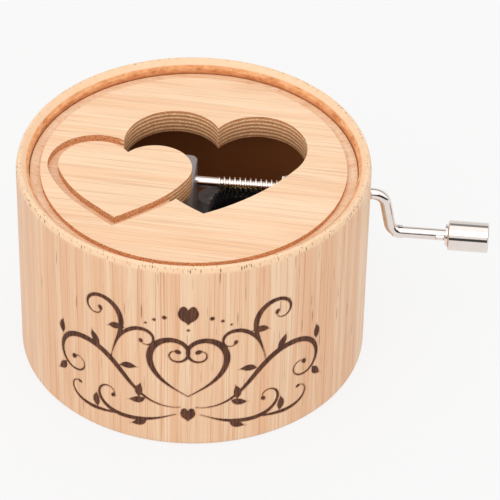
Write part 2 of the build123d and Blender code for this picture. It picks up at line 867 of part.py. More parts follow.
with BuildPart() as shaft_clip:
    with BuildSketch(ALONG_X.offset(post_left - end_float - clip_thickness + running_gap)):
        with Locations((shaft_y, shaft_z)):
            Circle(clip_radius)
            Circle(clip_groove_radius + running_gap, mode=Mode.SUBTRACT)
            Rectangle(
                2 * clip_groove_radius,
                2 * clip_radius,
                align=(Align.CENTER, Align.MAX),
                mode=Mode.SUBTRACT,
            )
    extrude(amount=clip_thickness - 2 * running_gap)
shaft_clip.part.label = "shaft_clip"
export_step(shaft_clip.part, "parts/shaft_clip.step")

with BuildPart() as crank_bushing:
    with BuildSketch(ALONG_X.offset(ear_left - bush_flange_thickness)):
        with Locations((shaft_y, shaft_z)):
            Circle(bush_flange_radius)
    extrude(amount=bush_flange_thickness)
    with BuildSketch(ALONG_X.offset(ear_left)):
        with Locations((shaft_y, shaft_z)):
            Circle(wire_radius + running_gap + bush_wall - thread_gap)
    extrude(amount=ear_wall_thickness)
    with BuildSketch(ALONG_X.offset(ear_left - bush_flange_thickness)):
        with Locations((shaft_y, shaft_z)):
            Circle(wire_radius + running_gap)
    extrude(amount=bush_flange_thickness + ear_wall_thickness, mode=Mode.SUBTRACT)
crank_bushing.part.label = "crank_bushing"
export_step(crank_bushing.part, "parts/crank_bushing.step")

with BuildPart() as knob:
    with BuildSketch(ALONG_X.offset(knob_left)):
        with Locations((shaft_y, knob_z)):
            Circle(knob_radius)
    extrude(amount=knob_length)
    chamfer(knob.edges().filter_by(GeomType.CIRCLE), knob_chamfer)
    with BuildSketch(ALONG_X.offset(knob_left - knob_collar_length)):
        with Locations((shaft_y, knob_z)):
            Circle(knob_collar_radius)
    extrude(amount=knob_collar_length)
    with BuildSketch(ALONG_X.offset(knob_left - knob_collar_length)):
        with Locations((shaft_y, knob_z)):
            Circle(wire_radius + running_gap)
    extrude(amount=knob_collar_length + knob_length, mode=Mode.SUBTRACT)
    with BuildSketch(ALONG_X.offset(rivet_step)):
        with Locations((shaft_y, knob_z)):
            Circle(rivet_radius + hole_gap)
    extrude(amount=rivet_recess, mode=Mode.SUBTRACT)
knob.part.label = "knob"
export_step(knob.part, "parts/knob.step")
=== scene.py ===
import json
import math

import bpy
import numpy as np
from mathutils import Matrix, Vector


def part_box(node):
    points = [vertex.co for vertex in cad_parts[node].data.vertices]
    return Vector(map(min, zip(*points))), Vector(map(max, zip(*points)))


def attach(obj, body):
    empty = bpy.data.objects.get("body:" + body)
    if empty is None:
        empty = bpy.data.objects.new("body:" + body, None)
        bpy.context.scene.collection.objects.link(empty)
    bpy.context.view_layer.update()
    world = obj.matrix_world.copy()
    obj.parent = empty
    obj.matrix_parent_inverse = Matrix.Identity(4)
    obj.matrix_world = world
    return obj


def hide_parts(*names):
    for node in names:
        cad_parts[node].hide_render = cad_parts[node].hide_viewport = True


# Looks for the hand-cranked bamboo music box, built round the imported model. Metres.

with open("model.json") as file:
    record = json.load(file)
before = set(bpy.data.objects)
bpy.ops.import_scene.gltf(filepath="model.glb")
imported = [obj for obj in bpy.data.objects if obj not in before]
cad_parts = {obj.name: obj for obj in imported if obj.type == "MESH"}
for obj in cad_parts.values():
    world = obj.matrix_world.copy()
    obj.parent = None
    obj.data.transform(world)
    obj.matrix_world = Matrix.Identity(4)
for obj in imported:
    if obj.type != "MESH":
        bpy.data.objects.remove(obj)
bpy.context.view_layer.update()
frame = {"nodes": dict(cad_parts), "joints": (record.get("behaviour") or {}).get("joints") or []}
nodes = frame["nodes"]
mm = 0.001
print("frame loaded:", len(nodes), "nodes")


# camera: where the photograph was taken from
cameraValues = {
    "elevation": math.radians(38.565),
    "turn": math.radians(4.7),       # the box is turned this much from square on
    "roll": math.radians(1.2855),
    "distance": 585.365 * mm,
    "target": Vector((11.3998, 0, 21.4841)) * mm,
    "lens": 209.24,
    "sensor": 36,
}


def makeCamera(values):
    # back = away from the target, right = level with the floor, both turned about Z, then rolled
    e, roll = values["elevation"], values["roll"]
    turned = Matrix.Rotation(values["turn"], 3, "Z")
    back = turned @ Vector((0, -math.cos(e), math.sin(e)))
    right = turned @ Vector((1, 0, 0))
    up = back.cross(right)
    side = right * math.cos(roll) + up * math.sin(roll)
    top = up * math.cos(roll) - right * math.sin(roll)
    place = turned @ values["target"] + back * values["distance"]
    data = bpy.data.cameras.new("photoCamera")
    data.lens, data.sensor_width = values["lens"], values["sensor"]
    data.clip_start, data.clip_end = 0.01, 20
    camera = bpy.data.objects.new("photoCamera", data)
    camera.matrix_world = Matrix.Translation(place) @ Matrix((side, top, back)).transposed().to_4x4()
    bpy.context.scene.collection.objects.link(camera)
    bpy.context.scene.camera = camera


makeCamera(cameraValues)


# node trees: one helper for every node, short names for the common ones
def addNode(tree, kind, inputs=None, **settings):
    node = tree.nodes.new("ShaderNode" + kind)
    for name, value in settings.items():
        setattr(node, name, value)
    for socket, value in (inputs or {}).items():
        if isinstance(value, bpy.types.NodeSocket):
            tree.links.new(value, node.inputs[socket])
        else:
            node.inputs[socket].default_value = value
    return node


def colour(r, g, b):
    # screen colour 0..255 to linear
    channels = [c / 255 for c in (r, g, b)]
    linear = [c / 12.92 if c <= 0.04045 else ((c + 0.055) / 1.055) ** 2.4 for c in channels]
    return (*linear, 1)


def sums(tree, operation, a, b=0.0, c=0.0):
    return addNode(tree, "Math", {0: a, 1: b, 2: c}, operation=operation).outputs[0]


def vectors(tree, operation, a, b=(0, 0, 0)):
    return addNode(tree, "VectorMath", {0: a, 1: b}, operation=operation).outputs[0]


def stepped(tree, value, low, high, toLow=0.0, toHigh=1.0, smooth=True):
    # value from low..high to toLow..toHigh, held outside
    kind = "SMOOTHSTEP" if smooth else "LINEAR"
    sockets = {0: value, 1: low, 2: high, 3: toLow, 4: toHigh}
    return addNode(tree, "MapRange", sockets, interpolation_type=kind).outputs[0]


def mixed(tree, factor, a, b, blend="MIX"):
    node = addNode(tree, "Mix", {0: factor, 6: a, 7: b}, data_type="RGBA", blend_type=blend)
    return node.outputs[2]


def noise(tree, vector, scale=1.0, detail=2.0, rough=0.5, warp=0.0):
    sockets = {"Vector": vector, "Scale": scale, "Detail": detail, "Roughness": rough, "Distortion": warp}
    return addNode(tree, "TexNoise", sockets).outputs[0]


def cells(tree, vector, scale=1.0, random=1.0):
    sockets = {"Vector": vector, "Scale": scale, "Randomness": random}
    return addNode(tree, "TexVoronoi", sockets).outputs["Distance"]


def inMillimetres(tree):
    place = addNode(tree, "TexCoord").outputs["Object"]
    return addNode(tree, "VectorMath", {0: place, "Scale": 1000.0}, operation="SCALE").outputs[0]


def split(tree, vector):
    return addNode(tree, "SeparateXYZ", {0: vector}).outputs


def joined(tree, x, y, z):
    return addNode(tree, "CombineXYZ", {0: x, 1: y, 2: z}).outputs[0]


def scaled(tree, vector, x, y, z):
    return vectors(tree, "MULTIPLY", vector, (x, y, z))


def bumped(tree, height, strength, distance):
    sockets = {"Height": height, "Strength": strength, "Distance": distance}
    return addNode(tree, "Bump", sockets).outputs[0]


def newMaterial(name):
    material = bpy.data.materials.new(name)
    material.use_nodes = True
    material.node_tree.nodes.clear()
    return material, material.node_tree


def finishMaterial(tree, **sockets):
    # a Principled shader with the given sockets, spaces in their names written as underscores
    shader = addNode(tree, "BsdfPrincipled", {name.replace("_", " "): v for name, v in sockets.items()})
    addNode(tree, "OutputMaterial", {0: shader.outputs[0]})


# bamboo: bundles of fibre that run along one axis, cut from glued strips
grainScales = {
    # how dense each noise is across the strips, through them and along the fibres
    "broad": (0.55, 0.55, 0.012), "soft": (1.7, 1.7, 0.03),
    "fine": (6.5, 6.5, 0.05), "hair": (3.2, 3.2, 0.006), "patchy": (0.35, 0.35, 0.05),
    "sway": (0.08, 0.03),                    # across and along
    "knot": (0.22, 0.75), "parting": -0.6,   # along and across, and how far a knot parts the fibres
}


def bambooGrain(tree, along, look):
    # strip tone is a hash of floor(across / strip width); streaks and lines are noise stretched
    # along the fibres; bundles are cell centres stretched the same way; round a knot the fibres
    # part by exp(-distance squared)
    x, y, z = split(tree, inMillimetres(tree))
    sockets = {0: joined(tree, x, y, z), "Angle": look["turn"]}
    turned = addNode(tree, "VectorRotate", sockets, rotation_type="Z_AXIS")
    tx, ty, tz = split(tree, turned.outputs[0])
    across, depth, length = (ty, tz, tx) if along == "X" else (tx, ty, tz)
    kx, ky = look["knot"]
    longways, sideways = grainScales["knot"]
    fromKnot = joined(
        tree,
        sums(tree, "MULTIPLY", sums(tree, "SUBTRACT", length, kx), longways),
        sums(tree, "MULTIPLY", sums(tree, "SUBTRACT", across, ky), sideways),
        0.0,
    )
    knotGap = addNode(tree, "VectorMath", {0: fromKnot}, operation="LENGTH").outputs["Value"]
    squared = sums(tree, "MULTIPLY", knotGap, knotGap)
    knot = sums(tree, "POWER", math.e, sums(tree, "MULTIPLY", squared, -1.0))
    knot = sums(tree, "MULTIPLY", knot, look["knotty"])
    push = sums(tree, "MULTIPLY", knot, grainScales["parting"])
    parting = sums(tree, "MULTIPLY", sums(tree, "SUBTRACT", across, ky), push)
    swayAcross, swayAlong = grainScales["sway"]
    swayed = joined(
        tree, sums(tree, "MULTIPLY", across, swayAcross), depth, sums(tree, "MULTIPLY", length, swayAlong)
    )
    across = sums(tree, "MULTIPLY_ADD", noise(tree, swayed, 1.0, 1.0), look["sway"], across)
    across = sums(tree, "ADD", across, parting)
    grain = joined(tree, across, depth, length)
    strip = joined(
        tree,
        sums(tree, "FLOOR", sums(tree, "DIVIDE", across, look["stripWidth"])),
        sums(tree, "FLOOR", sums(tree, "DIVIDE", depth, look["stripDepth"])),
        0.0,
    )
    stripTone = addNode(tree, "TexWhiteNoise", {"Vector": strip}).outputs["Value"]
    broad = noise(tree, scaled(tree, grain, *grainScales["broad"]), 1.0, 2.0)
    soft = noise(tree, scaled(tree, grain, *grainScales["soft"]), 1.0, 3.0, 0.6)
    fine = noise(tree, scaled(tree, grain, *grainScales["fine"]), 1.0, 2.0, 0.6)
    hair = noise(tree, scaled(tree, grain, *grainScales["hair"]), 1.0, 1.0)
    bundle = cells(tree, scaled(tree, grain, *look["bundle"]))
    patchy = noise(tree, scaled(tree, grain, *grainScales["patchy"]), 1.0, 1.0)

    stripShare = sums(tree, "MULTIPLY", stripTone, look["stripTone"])
    tone = sums(tree, "ADD", stepped(tree, broad, 0.3, 0.7), stripShare)
    shade = mixed(tree, sums(tree, "MULTIPLY", tone, look["warmth"]), look["pale"], look["warm"])
    shade = mixed(tree, stepped(tree, soft, 0.50, 0.72, 0.0, look["streaks"]), shade, look["streak"])
    shade = mixed(tree, stepped(tree, fine, 0.52, 0.72, 0.0, look["lines"]), shade, look["line"])
    shade = mixed(tree, stepped(tree, hair, 0.62, 0.70, 0.0, look["hairs"]), shade, look["streak"])
    shade = mixed(tree, sums(tree, "MULTIPLY", knot, 0.4), shade, look["streak"])
    dash = stepped(tree, bundle, look["bundleSize"], look["bundleSize"] * 0.4)
    dash = sums(tree, "MULTIPLY", dash, stepped(tree, patchy, 0.42, 0.62, 0.15, look["bundles"]))
    shade = mixed(tree, dash, shade, look["fibre"])
    height = sums(tree, "ADD", fine, sums(tree, "MULTIPLY", dash, -0.8))
    return shade, height, (x, y, z), grain


sideLook = {
    "turn": 0.0, "knot": (0.0, 0.0), "knotty": 0.0,
    "sway": 0.6, "stripWidth": 4.6, "stripDepth": 9.0, "stripTone": 1.0,
    "warmth": 0.72, "streaks": 0.5, "lines": 0.5, "hairs": 0.75,
    "bundle": (1.25, 1.25, 0.07), "bundleSize": 0.17, "bundles": 0.9,
    "pale": colour(248, 218, 184), "warm": colour(238, 190, 150), "streak": colour(216, 152, 108),
    "line": colour(206, 146, 104), "fibre": colour(132, 78, 54),
}
lidLook = {
    "turn": math.radians(3.5), "knot": (6.8, 28.0), "knotty": 0.8,
    "sway": 0.9, "stripWidth": 7.5, "stripDepth": 20.0, "stripTone": 0.35,
    "warmth": 0.64, "streaks": 0.5, "lines": 0.58, "hairs": 0.6,
    "bundle": (1.3, 0.2, 0.03), "bundleSize": 0.12, "bundles": 0.3,
    "pale": colour(254, 221, 186), "warm": colour(246, 198, 154), "streak": colour(224, 170, 126),
    "line": colour(204, 156, 122), "fibre": colour(160, 112, 82),
}
plyLook = {
    "perMillimetre": 1.15,          # plies to a millimetre of height
    "ply": colour(196, 128, 80), "glue": colour(255, 220, 172), "speck": colour(168, 106, 62),
    "scorch": colour(238, 172, 118), "scorchDark": colour(160, 96, 56),
    # where cut walls turn brown, in millimetres: not yet at the first value, wholly at the second
    "thinEdge": (41.7, 42.1), "stepRadius": (29.4, 29.9), "stepHeight": (40.9, 41.1),
    "grooveStart": (8.55, 8.9), "grooveHeight": (40.2, 40.6),
    "grooveSide": (-0.825, -0.565),   # the direction in X and Y that grooveStart is measured in
}
rimLook = {
    "burnRadius": (33.15, 32.90),   # the light top of the rim ends here, the browned wall starts
    "rows": (34.15, 34.78),         # radii of the two rows of fibre ends
    "rowWidth": (0.26, 0.16),       # how far from its row's middle a fibre end fades out
    "meanRadius": 34.0,
    "topRadius": (34.99, 34.86), "topHeight": (42.3, 43.2),   # where the side turns into the top
    "gapShadeHeight": (42.6, 41.6), "seatHeight": (36.0, 37.0),     # painted gap shade: the wall goes darker low down, by the lid; brown above the seat
    "light": colour(253, 220, 184), "deeper": colour(242, 198, 156), "pore": colour(104, 66, 44),
    "poreSize": 0.5,                # how far apart the fibre ends are, in millimetres
    # the darkest burnt tone serves both darker burn streaks and the painted shade in the gap by the lid
    "burnt": colour(226, 150, 94), "burntPale": colour(245, 184, 130), "burntDarkAndGapShade": colour(172, 98, 50),
}
inkLook = {
    "char": colour(60, 28, 14), "charPale": colour(112, 66, 40), "singe": colour(182, 120, 78),
    # how far from a stroke's edge each ends, in millimetres, and how much the edge wanders
    "inkEdge": (0.06, -0.05), "singeEdge": (0.34, 0.0), "singeDepth": 0.42, "wander": 0.08,
}


def radiusOf(tree, x, y):
    return sums(tree, "SQRT", sums(tree, "MULTIPLY_ADD", x, x, sums(tree, "MULTIPLY", y, y)))


def bambooSide():
    # case: grain up the wall, fibre ends on the rim, browned inner wall, and the burnt drawing
    material, tree = newMaterial("bambooSide")
    shade, height, (x, y, z), grain = bambooGrain(tree, "Z", sideLook)
    place = joined(tree, x, y, z)
    radius = radiusOf(tree, x, y)
    onTop, highUp = stepped(tree, radius, *rimLook["topRadius"]), stepped(tree, z, *rimLook["topHeight"])
    topFace = sums(tree, "MULTIPLY", onTop, highUp)
    mottled = noise(tree, scaled(tree, place, 0.7, 0.7, 0.2), 1.0, 3.0)
    endShade = mixed(tree, mottled, rimLook["light"], rimLook["deeper"])
    # fibre ends: one line of cells along the rim for each row
    around = sums(tree, "MULTIPLY", sums(tree, "ARCTAN2", y, x), rimLook["meanRadius"])
    ends = None
    for order, row in enumerate(rimLook["rows"]):
        off = sums(tree, "SUBTRACT", radius, row)
        beside = sums(tree, "MULTIPLY_ADD", off, 1 / rimLook["poreSize"], 0.5)
        spot = joined(tree, sums(tree, "DIVIDE", around, rimLook["poreSize"]), beside, 0.5 + 7 * order)
        near = stepped(tree, cells(tree, spot, 1.0, 0.7), 0.33, 0.16)
        inRow = stepped(tree, sums(tree, "ABSOLUTE", off), *rimLook["rowWidth"])
        near = sums(tree, "MULTIPLY", near, inRow)
        ends = near if ends is None else sums(tree, "MAXIMUM", ends, near)
    crowding = noise(tree, scaled(tree, place, 0.35, 0.35, 0.0), 1.0, 2.0)
    clustered = stepped(tree, crowding, 0.44, 0.62, 0.3, 1.0)
    pores = sums(tree, "MULTIPLY", ends, clustered)
    endShade = mixed(tree, pores, endShade, rimLook["pore"])
    shade = mixed(tree, topFace, shade, endShade)

    # browned wall inside the rim and the seat under the lid, with painted shade low on the wall where it
    # meets the gap by the lid
    unrolled = joined(tree, sums(tree, "MULTIPLY", around, 0.45), radius, sums(tree, "MULTIPLY", z, 1.1))
    upright = noise(tree, unrolled, 1.0, 4.0, 0.7)
    burnt = mixed(tree, stepped(tree, upright, 0.32, 0.62), rimLook["burntPale"], rimLook["burnt"])
    burnt = mixed(tree, stepped(tree, upright, 0.52, 0.75, 0.0, 0.8), burnt, rimLook["burntDarkAndGapShade"])
    # painted shade: the wall darkens as it nears the lid, where the gap lies in shade
    burnt = mixed(tree, stepped(tree, z, *rimLook["gapShadeHeight"], 0.0, 0.85), burnt, rimLook["burntDarkAndGapShade"])
    overSeat = stepped(tree, z, *rimLook["seatHeight"])
    inward = sums(tree, "MULTIPLY", stepped(tree, radius, *rimLook["burnRadius"]), overSeat)
    shade = mixed(tree, inward, shade, burnt)

    # signed distance to the drawing, in millimetres, below zero inside a stroke
    edge = addNode(tree, "Attribute", attribute_name="burnEdge").outputs["Fac"]
    wander = sums(tree, "SUBTRACT", noise(tree, scaled(tree, grain, 6, 6, 1.2), 1.0, 2.0), 0.5)
    ragged = sums(tree, "MULTIPLY_ADD", wander, inkLook["wander"], edge)
    ink = stepped(tree, ragged, *inkLook["inkEdge"])
    patches = noise(tree, scaled(tree, grain, 4.0, 4.0, 0.22), 1.0, 3.0)
    char = mixed(tree, stepped(tree, patches, 0.35, 0.65), inkLook["char"], inkLook["charPale"])
    singed = stepped(tree, ragged, *inkLook["singeEdge"], 0.0, inkLook["singeDepth"])
    shade = mixed(tree, singed, shade, inkLook["singe"])
    shade = mixed(tree, ink, shade, char)
    rough = stepped(tree, sums(tree, "MAXIMUM", ink, inward), 0, 1, 0.46, 0.8, False)
    relief = bumped(tree, height, 0.25, 0.00006)
    finishMaterial(tree, Base_Color=shade, Roughness=rough, IOR=1.5, Normal=relief)
    return material


def bambooInside():
    # bored cavity: dark brown wood, much darker than the outside, with turning rings
    material, tree = newMaterial("bambooInside")
    place = inMillimetres(tree)
    rings = noise(tree, scaled(tree, place, 0.12, 0.12, 2.4), 1.0, 3.0)
    cavityBrown, worn = colour(150, 86, 38), colour(162, 96, 46)
    shade = mixed(tree, rings, cavityBrown, worn)
    finishMaterial(tree, Base_Color=shade, Roughness=0.75, Normal=bumped(tree, rings, 0.3, 0.0001))
    return material


def bambooLid():
    # plywood disc: pale grain on level faces, plies and scorch on cut walls
    material, tree = newMaterial("bambooLid")
    shade, height, (x, y, z), _ = bambooGrain(tree, "X", lidLook)
    place = joined(tree, x, y, z)
    up = sums(tree, "ABSOLUTE", split(tree, addNode(tree, "TexCoord").outputs["Normal"])[2])
    wall = stepped(tree, up, 0.92, 0.55)
    # plies under 1 mm thick; glue lines between them are paler
    stack = sums(tree, "MULTIPLY", z, plyLook["perMillimetre"])
    wavy = sums(tree, "MULTIPLY_ADD", noise(tree, place, 0.25, 2.0), 0.4, stack)
    wavy = sums(tree, "MULTIPLY_ADD", noise(tree, place, 2.6, 2.0), 0.22, wavy)
    ply = sums(tree, "ABSOLUTE", sums(tree, "SUBTRACT", sums(tree, "FRACT", wavy), 0.5))
    plyShade = mixed(tree, stepped(tree, ply, 0.16, 0.40), plyLook["ply"], plyLook["glue"])
    speck = noise(tree, place, 4.5, 3.0, 0.75)
    plyShade = mixed(tree, stepped(tree, speck, 0.46, 0.64, 0.0, 0.8), plyShade, plyLook["speck"])
    scorched = mixed(tree, stepped(tree, speck, 0.42, 0.60), plyLook["scorch"], plyLook["scorchDark"])
    # only a thin edge is brown in the heart; the groove and the stepped edge are brown all over
    thinEdge = stepped(tree, z, *plyLook["thinEdge"])
    radius = radiusOf(tree, x, y)
    overStep = stepped(tree, z, *plyLook["stepHeight"])
    stepWall = sums(tree, "MULTIPLY", stepped(tree, radius, *plyLook["stepRadius"]), overStep)
    # the groove is what lies to the left of the line between the two hearts' crossings
    sideX, sideY = plyLook["grooveSide"]
    leftward = sums(tree, "MULTIPLY_ADD", x, sideX, sums(tree, "MULTIPLY", y, sideY))
    overFloor = stepped(tree, z, *plyLook["grooveHeight"])
    inGroove = sums(tree, "MULTIPLY", stepped(tree, leftward, *plyLook["grooveStart"]), overFloor)
    brown = sums(tree, "MAXIMUM", thinEdge, sums(tree, "MAXIMUM", stepWall, inGroove))
    wallShade = mixed(tree, brown, plyShade, scorched)
    shade = mixed(tree, wall, shade, wallShade)
    rough = stepped(tree, wall, 0, 1, 0.42, 0.7, False)
    relief = bumped(tree, height, 0.2, 0.00006)
    finishMaterial(tree, Base_Color=shade, Roughness=rough, IOR=1.5, Normal=relief)
    return material


def bambooBoard():
    # base board: sanded plywood underneath
    material, tree = newMaterial("bambooBoard")
    boardLook = {**sideLook, "stripWidth": 6.0, "stripDepth": 20.0, "bundles": 0.5}
    shade, height, _, _ = bambooGrain(tree, "X", boardLook)
    finishMaterial(tree, Base_Color=shade, Roughness=0.55, Normal=bumped(tree, height, 0.3, 0.00008))
    return material


def brightNickel(name, stretch):
    # polished plate with faint haze and hairline marks
    material, tree = newMaterial(name)
    place = inMillimetres(tree)
    haze = noise(tree, place, 0.6, 3.0)
    hairs = noise(tree, scaled(tree, place, *stretch), 1.0, 2.0)
    rough = stepped(tree, haze, 0.3, 0.8, 0.05, 0.14, False)
    clear, clouded = colour(236, 228, 222), colour(226, 214, 208)
    shade = mixed(tree, haze, clear, clouded)
    relief = bumped(tree, hairs, 0.05, 0.00002)
    finishMaterial(tree, Base_Color=shade, Metallic=1.0, Roughness=rough, Normal=relief)
    return material


def castZinc():
    # die-cast zinc: matte grey skin, soft orange peel
    material, tree = newMaterial("castZinc")
    place = inMillimetres(tree)
    skin = noise(tree, place, 1.8, 4.0, 0.6)
    blot = noise(tree, place, 0.35, 2.0)
    fresh, dulled = colour(182, 176, 176), colour(154, 148, 150)
    shade = mixed(tree, blot, fresh, dulled)
    rough = stepped(tree, skin, 0.3, 0.7, 0.42, 0.62, False)
    relief = bumped(tree, skin, 0.35, 0.00006)
    finishMaterial(tree, Base_Color=shade, Metallic=0.55, Roughness=rough, Normal=relief)
    return material


def groundSteel(name, tint, stretch, low, high):
    # steel with grinding marks: noise stretched along one axis
    material, tree = newMaterial(name)
    place = inMillimetres(tree)
    marks = noise(tree, scaled(tree, place, *stretch), 1.0, 3.0, 0.6)
    blot = noise(tree, place, 0.4, 2.0)
    shade = mixed(tree, blot, colour(*tint), colour(*[c * 0.86 for c in tint]))
    rough = stepped(tree, marks, 0.3, 0.7, low, high, False)
    relief = bumped(tree, marks, 0.15, 0.00003)
    finishMaterial(tree, Base_Color=shade, Metallic=1.0, Roughness=rough, Normal=relief)
    return material


def mouldedPlastic(name, tint, rough):
    # moulded part: fine grain and slight sink marks
    material, tree = newMaterial(name)
    place = inMillimetres(tree)
    grain = noise(tree, place, 6.0, 2.0)
    sink = noise(tree, place, 0.5, 1.0)
    shade = mixed(tree, sink, colour(*tint), colour(*[min(255, c * 1.18 + 3) for c in tint]))
    uneven = stepped(tree, grain, 0.3, 0.7, rough, rough + 0.12, False)
    relief = bumped(tree, grain, 0.12, 0.00002)
    finishMaterial(tree, Base_Color=shade, Roughness=uneven, Normal=relief)
    return material


def softLead():
    # cast weights: dull blue grey, uneven
    material, tree = newMaterial("softLead")
    place = inMillimetres(tree)
    dull = noise(tree, place, 2.4, 4.0)
    darker, lighter = colour(104, 106, 110), colour(134, 134, 138)
    shade = mixed(tree, dull, darker, lighter)
    relief = bumped(tree, dull, 0.4, 0.00005)
    finishMaterial(tree, Base_Color=shade, Metallic=0.8, Roughness=0.55, Normal=relief)
    return material


materials = {
    "side": bambooSide(),
    "inside": bambooInside(),
    "lid": bambooLid(),
    "board": bambooBoard(),
    "nickel": brightNickel("brightNickel", (0.4, 9.0, 9.0)),
    "knob": brightNickel("turnedNickel", (14.0, 0.5, 0.5)),
    "zinc": castZinc(),
    "pressed": groundSteel("pressedSteel", (176, 176, 178), (0.5, 6.0, 6.0), 0.28, 0.42),
    "comb": groundSteel("combSteel", (196, 200, 206), (0.3, 7.0, 7.0), 0.22, 0.38),
    "pins": groundSteel("pinSteel", (190, 190, 192), (2.0, 2.0, 2.0), 0.22, 0.34),
    "plated": groundSteel("platedSteel", (206, 204, 198), (2.5, 2.5, 2.5), 0.24, 0.36),
    "brassed": groundSteel("brassedSteel", (214, 180, 108), (2.5, 2.5, 2.5), 0.24, 0.36),
    "brass": groundSteel("turnedBrass", (222, 186, 112), (0.4, 8.0, 0.4), 0.2, 0.34),
    "black": mouldedPlastic("blackPlastic", (24, 24, 26), 0.13),
    "nylon": mouldedPlastic("naturalNylon", (226, 222, 208), 0.4),
    "film": mouldedPlastic("damperFilm", (212, 204, 180), 0.35),
    "lead": softLead(),
}
print("materials:", len(materials))


# surfaces: a grid of points, closed round its columns, with poles where a row has no size
def gridObject(name, points, closeRows=False, zones=None, attributes=None, looks=()):
    # points[row, column] -> mesh; rows that fall on one point become a single vertex with a fan
    rows, columns = points.shape[:2]
    size = np.ptp(points, axis=1).max(axis=1)
    pole = size < 1e-9
    counts = np.where(pole, 1, columns)
    starts = np.concatenate([[0], np.cumsum(counts)[:-1]])
    index = starts[:, None] + np.where(pole[:, None], 0, np.arange(columns)[None, :])
    keep = np.concatenate([points[r, : counts[r]] for r in range(rows)])
    low = np.arange(rows if closeRows else rows - 1)
    high = (low + 1) % rows
    a, b = index[low], np.roll(index[low], -1, axis=1)
    c, d = np.roll(index[high], -1, axis=1), index[high]
    quads = np.stack([a, b, c, d], axis=-1).reshape(-1, 4)
    faceZones = np.repeat(zones if zones is not None else np.zeros(len(low), int), columns)
    bottom, top = np.repeat(pole[low], columns), np.repeat(pole[high], columns)
    plain = ~bottom & ~top
    faces = quads[plain].tolist() + quads[bottom][:, [0, 2, 3]].tolist() + quads[top][:, [0, 1, 2]].tolist()
    mesh = bpy.data.meshes.new(name)
    mesh.from_pydata(keep.tolist(), [], faces)
    order = np.concatenate([faceZones[plain], faceZones[bottom], faceZones[top]])
    for look in looks:
        mesh.materials.append(look)
    mesh.polygons.foreach_set("material_index", order.astype(np.int32))
    mesh.polygons.foreach_set("use_smooth", np.ones(len(order), bool))
    for label, values in (attributes or {}).items():
        kept = np.concatenate([values[r, : counts[r]] for r in range(rows)])
        mesh.attributes.new(label, "FLOAT", "POINT").data.foreach_set("value", kept.astype(np.float32))
    mesh.update()
    thing = bpy.data.objects.new(name, mesh)
    bpy.context.scene.collection.objects.link(thing)
    return thing


def roundedProfile(corners):
    # outline from (r, h, radius, zone) corners: a corner with a radius becomes an arc tangent
    # to its two runs; the zone is that of the run that starts there
    outline, zones = [], []
    last = len(corners) - 1
    for i, (r, h, radius, zone) in enumerate(corners):
        here = np.array([r, h], float)
        if radius == 0 or i in (0, last):
            outline.append(here[None])
            zones.append([zone])
            continue
        before = np.array(corners[i - 1][:2]) - here
        after = np.array(corners[i + 1][:2]) - here
        before, after = before / np.linalg.norm(before), after / np.linalg.norm(after)
        half = math.acos(np.clip(before @ after, -1, 1)) / 2
        reach, middle = radius / math.tan(half), (before + after) / np.linalg.norm(before + after)
        centre = here + middle * radius / math.sin(half)
        first, second = here + before * reach - centre, here + after * reach - centre
        turn = math.pi - 2 * half
        steps = max(3, int(math.ceil(turn / 0.26)))
        t = np.linspace(0, 1, steps + 1)[:, None]
        arc = (np.sin((1 - t) * turn) * first + np.sin(t * turn) * second) / math.sin(turn)
        outline.append(centre + arc)
        zones.append([zone] * (steps + 1))
    return np.concatenate(outline), np.concatenate(zones)


# scrollwork burnt into the front of the case, in millimetres along the wall and up it
scrollValues = {
    "depth": 0.18,        # how deep the laser cut
    "height": 0.0,        # lifts the whole drawing
    "samples": 260,       # points along a stroke
    "far": 3.0,           # distances past this aren't worked out
    "flank": 0.24,        # width over which an engraved edge falls
    # each stroke: start, heading, length, bends along it, thin, thick, where it is thickest, end ball
    "strokes": [
        ((0.0, 12.6), 36, 33.5, (-0.03, 0.07, 0.15, 0.23, 0.30, 0.50, 1.05), 0.25, 1.35, 0.42, 1.0),
        ((1.6, 9.8), -8, 47, (0.11, 0.10, 0.0, -0.11, -0.16, -0.20, -0.38, -0.85), 0.25, 1.3, 0.45, 1.0),
        ((15.4, 20.0), 96, 27, (0.10, 0.0, -0.14, -0.22, -0.30, -0.5, -1.0), 0.22, 1.15, 0.42, 0.9),
        ((14.55, 23.2), 108, 16, (0.05, 0.12, 0.22, 0.40, 0.62, 1.1), 0.2, 0.9, 0.4, 0.8),
        ((2.4, 7.9), -22, 25, (-0.02, 0.05, 0.05, 0.12, 0.26, 0.5, 1.0), 0.22, 1.0, 0.42, 0.85),
        ((12.6, 5.55), -3, 17, (-0.04, 0.0, 0.06, 0.18, 0.45, 0.9), 0.2, 0.85, 0.42, 0.75),
        ((0.0, 31.0), 66, 4.0, (0.05, 0.10, 0.30), 0.5, 2.4, 0.6, 1.7),
        ((0.0, 6.4), 66, 3.0, (0.05, 0.14, 0.40), 0.4, 1.7, 0.6, 1.25),
    ],
    # leaves share one stroke; each has its own start and heading
    "leaf": (4.3, (0.22, 0.08), 0.0, 1.5, 0.45, 0),
    "leaves": [
        ((9.6, 10.9), 74), ((8.2, 11.35), -40), ((17.8, 21.4), 38), ((13.9, 18.0), 150), ((27.3, 19.4), 70),
        ((26.6, 13.2), -75), ((16.3, 27.2), 150), ((8.0, 5.9), -50), ((18.6, 5.1), 65),
    ],
    "dots": [((0, 29.4), 0.6), ((4.6, 32.2), 0.9), ((6.6, 31.4), 0.7), ((8.3, 30.3), 0.5)],
}


